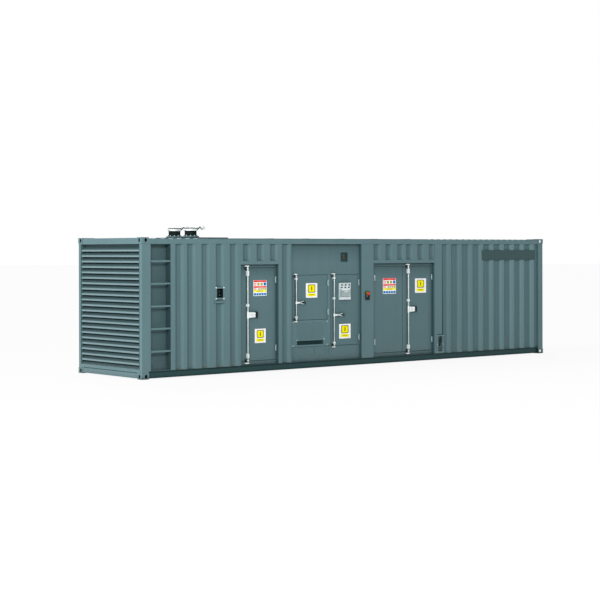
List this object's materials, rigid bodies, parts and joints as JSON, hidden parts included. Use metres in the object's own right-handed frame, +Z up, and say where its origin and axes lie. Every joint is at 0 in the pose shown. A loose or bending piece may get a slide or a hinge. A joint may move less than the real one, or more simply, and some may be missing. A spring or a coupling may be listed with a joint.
{
  "type": "containerised diesel generator set",
  "caption": "Forty foot high-cube steel generator enclosure with louvred ends, hinged service doors, a recessed electrical bay, a side ladder and roof exhausts.",
  "frame": {"origin": "centre of the footprint, on the underside of the four bottom corner castings", "axes": "+X along the length away from the ladder end, -Y towards the side with the electrical bay, +Z up"},
  "size_m": [12.192, 2.497, 3.159],
  "materials": {
    "paint": "satin grey-green enamel",
    "dark_paint": "satin dark grey-green enamel",
    "zinc": "zinc plated",
    "black_paint": "heat resistant black",
    "black_plastic": "moulded",
    "red_plastic": "moulded red",
    "grey_plastic": "moulded light grey"
  },
  "bodies": {
    "enclosure": {"corner_castings": "paint", "corner_posts": "paint", "top_side_rails": "paint", "bottom_side_rails": "dark_paint", "end_rails": "paint", "cross_members": "dark_paint", "floor": "dark_paint", "roof": "paint", "louvre_blades": "paint", "ladder_recess": "paint", "ladder_rungs": "paint", "front_wall": "paint", "wall_headers": "paint", "front_piers": "paint", "bay_wall": "paint", "bay_wall_posts": "paint", "door_frames": "paint", "back_wall": "paint", "back_doors": "paint", "back_door_fittings": "zinc", "fixed_hinges": "zinc", "lock_keepers": "zinc", "socket_box": "paint", "cable_panel": "paint", "lamp_housing": "black_plastic", "stop_box": "black_plastic", "fuel_panel": "paint", "exhaust_cover": "paint", "exhaust_outlets": "black_paint"},
    "stop_button": {"stop_button": "red_plastic"},
    "door_1": {"door_1_leaf": "paint", "door_1_fittings": "zinc"},
    "door_1_bar": {"door_1_lock_bar": "zinc"},
    "hatch": {"hatch_leaf": "paint", "hatch_fittings": "zinc"},
    "hatch_bar": {"hatch_lock_bar": "zinc"},
    "breaker_door": {"breaker_door_leaf": "paint", "breaker_door_fittings": "zinc", "breaker_unit": "grey_plastic"},
    "breaker_door_bar": {"breaker_door_lock_bar": "zinc"},
    "double_door_left": {"left_leaf": "paint", "left_leaf_hinges": "zinc"},
    "double_door_right": {"right_leaf": "paint", "right_leaf_fittings": "zinc"},
    "double_door_right_bar": {"right_leaf_lock_bar": "zinc"},
    "rain_cap_front": {"rain_cap_front": "zinc"},
    "rain_cap_back": {"rain_cap_back": "zinc"}
  },
  "joints": [
    {"name": "door_1_swing", "type": "hinge", "parent": "enclosure", "child": "door_1", "pos_m": [-2.557, -1.149, 1.2], "axis": [0, 0, 1], "range_deg": [0, 95]},
    {"name": "door_1_bar_turn", "type": "hinge", "parent": "door_1", "child": "door_1_bar", "pos_m": [-3.337, -1.167, 1.2], "axis": [0, 0, -1], "range_deg": [0, 90]},
    {"name": "hatch_swing", "type": "hinge", "parent": "enclosure", "child": "hatch", "pos_m": [-1.062, -1.161, 1.2], "axis": [0, 0, 1], "range_deg": [0, 95]},
    {"name": "hatch_bar_turn", "type": "hinge", "parent": "hatch", "child": "hatch_bar", "pos_m": [-1.996, -1.179, 1.2], "axis": [0, 0, -1], "range_deg": [0, 90]},
    {"name": "breaker_door_swing", "type": "hinge", "parent": "enclosure", "child": "breaker_door", "pos_m": [-0.137, -1.161, 1.2], "axis": [0, 0, 1], "range_deg": [0, 95]},
    {"name": "breaker_door_bar_turn", "type": "hinge", "parent": "breaker_door", "child": "breaker_door_bar", "pos_m": [-0.891, -1.179, 1.2], "axis": [0, 0, -1], "range_deg": [0, 90]},
    {"name": "double_door_left_swing", "type": "hinge", "parent": "enclosure", "child": "double_door_left", "pos_m": [0.317, -1.149, 1.2], "axis": [0, 0, -1], "range_deg": [0, 95]},
    {"name": "double_door_right_swing", "type": "hinge", "parent": "enclosure", "child": "double_door_right", "pos_m": [2.206, -1.149, 1.2], "axis": [0, 0, 1], "range_deg": [0, 95]},
    {"name": "double_door_right_bar_turn", "type": "hinge", "parent": "double_door_right", "child": "double_door_right_bar", "pos_m": [1.4245, -1.167, 1.2], "axis": [0, 0, -1], "range_deg": [0, 90]},
    {"name": "stop_button_push", "type": "slide", "parent": "enclosure", "child": "stop_button", "axis": [0, 1, 0], "range_m": [0, 0.006]},
    {"name": "rain_cap_front_tilt", "type": "hinge", "parent": "enclosure", "child": "rain_cap_front", "pos_m": [-3.994, -0.302, 3.128], "axis": [0, 1, 0], "range_deg": [0, 70]},
    {"name": "rain_cap_back_tilt", "type": "hinge", "parent": "enclosure", "child": "rain_cap_back", "pos_m": [-3.994, 0.302, 3.128], "axis": [0, 1, 0], "range_deg": [0, 70]}
  ]
}
